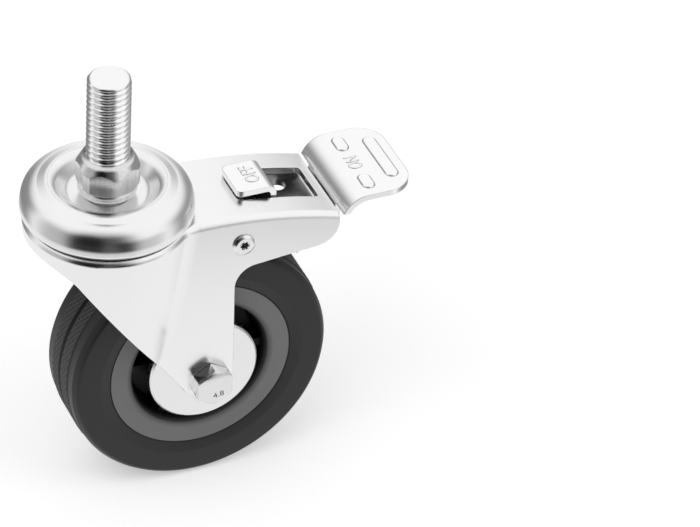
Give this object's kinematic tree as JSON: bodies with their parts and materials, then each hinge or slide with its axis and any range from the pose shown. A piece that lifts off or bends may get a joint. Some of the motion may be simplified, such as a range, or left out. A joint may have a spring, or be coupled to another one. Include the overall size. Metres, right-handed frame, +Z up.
{
  "type": "swivel castor",
  "caption": "Braked swivel castor: threaded stem with hex collar, ball-race cup, pressed steel fork, rubber wheel on a bolted axle, and a foot pedal that rocks a shoe onto the tread.",
  "frame": {"origin": "on the swivel axis, on the top face of the stem's hex collar, which is screwed up against the furniture", "axes": "+Z up the stem, +X the side the wheel trails to and the brake pedal points to, -Y the side of the axle bolt's head"},
  "size_m": [0.1079, 0.0505, 0.1332],
  "materials": {
    "stem_zinc": "satin zinc plate",
    "bright_plate": "bright plate",
    "ball_steel": "polished",
    "fastener_zinc": "satin zinc plate",
    "insert_nylon": "matte",
    "hub_plastic": "matte",
    "cap_plate": "satin plate",
    "tyre_rubber": "matte",
    "shoe_rubber": "matte"
  },
  "bodies": {
    "head": {"stem": "stem_zinc", "top_race": "bright_plate", "lower_race": "bright_plate"},
    "fork": {"fork": "bright_plate", "upper_balls": "ball_steel", "lower_balls": "ball_steel", "brake_rivet": "fastener_zinc", "friction_washer_nut_side": "fastener_zinc", "friction_washer_head_side": "fastener_zinc", "axle_bolt": "fastener_zinc", "axle_nut": "fastener_zinc", "nut_insert": "insert_nylon", "nut_washer": "fastener_zinc", "axle_sleeve": "fastener_zinc", "dust_cap_nut_side": "cap_plate", "dust_cap_head_side": "cap_plate", "bearing_inner_nut_side": "ball_steel", "bearing_inner_head_side": "ball_steel"},
    "brake": {"brake_pedal": "bright_plate", "brake_shoe": "shoe_rubber"},
    "wheel": {"hub": "hub_plastic", "tyre": "tyre_rubber", "bearing_outer_nut_side": "ball_steel", "bearing_outer_head_side": "ball_steel", "bearing_balls_nut_side": "ball_steel", "bearing_balls_head_side": "ball_steel"}
  },
  "joints": [
    {"name": "swivel", "type": "hinge", "parent": "head", "child": "fork", "pos_m": [0, 0, 0], "axis": [0, 0, 1], "continuous": true},
    {"name": "wheel_spin", "type": "hinge", "parent": "fork", "child": "wheel", "pos_m": [0.0244, 0, -0.0707], "axis": [0, 1, 0], "continuous": true},
    {"name": "brake_swing", "type": "hinge", "parent": "fork", "child": "brake", "pos_m": [0.0335, 0, -0.0277], "axis": [0, 1, 0], "range_deg": [0, 12]}
  ]
}
